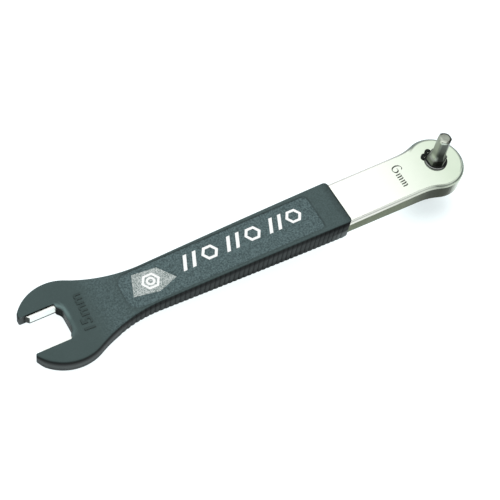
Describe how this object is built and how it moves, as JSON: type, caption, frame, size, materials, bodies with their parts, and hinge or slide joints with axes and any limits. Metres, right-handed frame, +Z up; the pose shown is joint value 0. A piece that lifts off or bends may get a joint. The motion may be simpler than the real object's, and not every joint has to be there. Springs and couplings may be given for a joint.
{
  "type": "pedal wrench",
  "caption": "Flat pedal wrench with an open jaw and moulded rubber grip at one end and a double-ended hexagonal bit across the head at the other.",
  "frame": {"origin": "bottom centre of the bounding box of the tool as it rests on a bench", "axes": "+X along the tool from the jaw towards the head, +Y across the handle, +Z up; the tool's own length is raised 4.9 degrees towards the head"},
  "size_m": [0.22, 0.0392, 0.044],
  "materials": {
    "nickel_plate": "satin nickel plating on forged steel",
    "moulded_rubber": "matt, finely grained",
    "tool_steel": "dull plated tool steel",
    "black_oxide": "black oxide on spring steel, half gloss"
  },
  "bodies": {
    "root": {"wrench_plate": "nickel_plate", "grip_sleeve": "moulded_rubber", "hex_bit": "tool_steel", "retaining_ring": "black_oxide"}
  },
  "joints": []
}
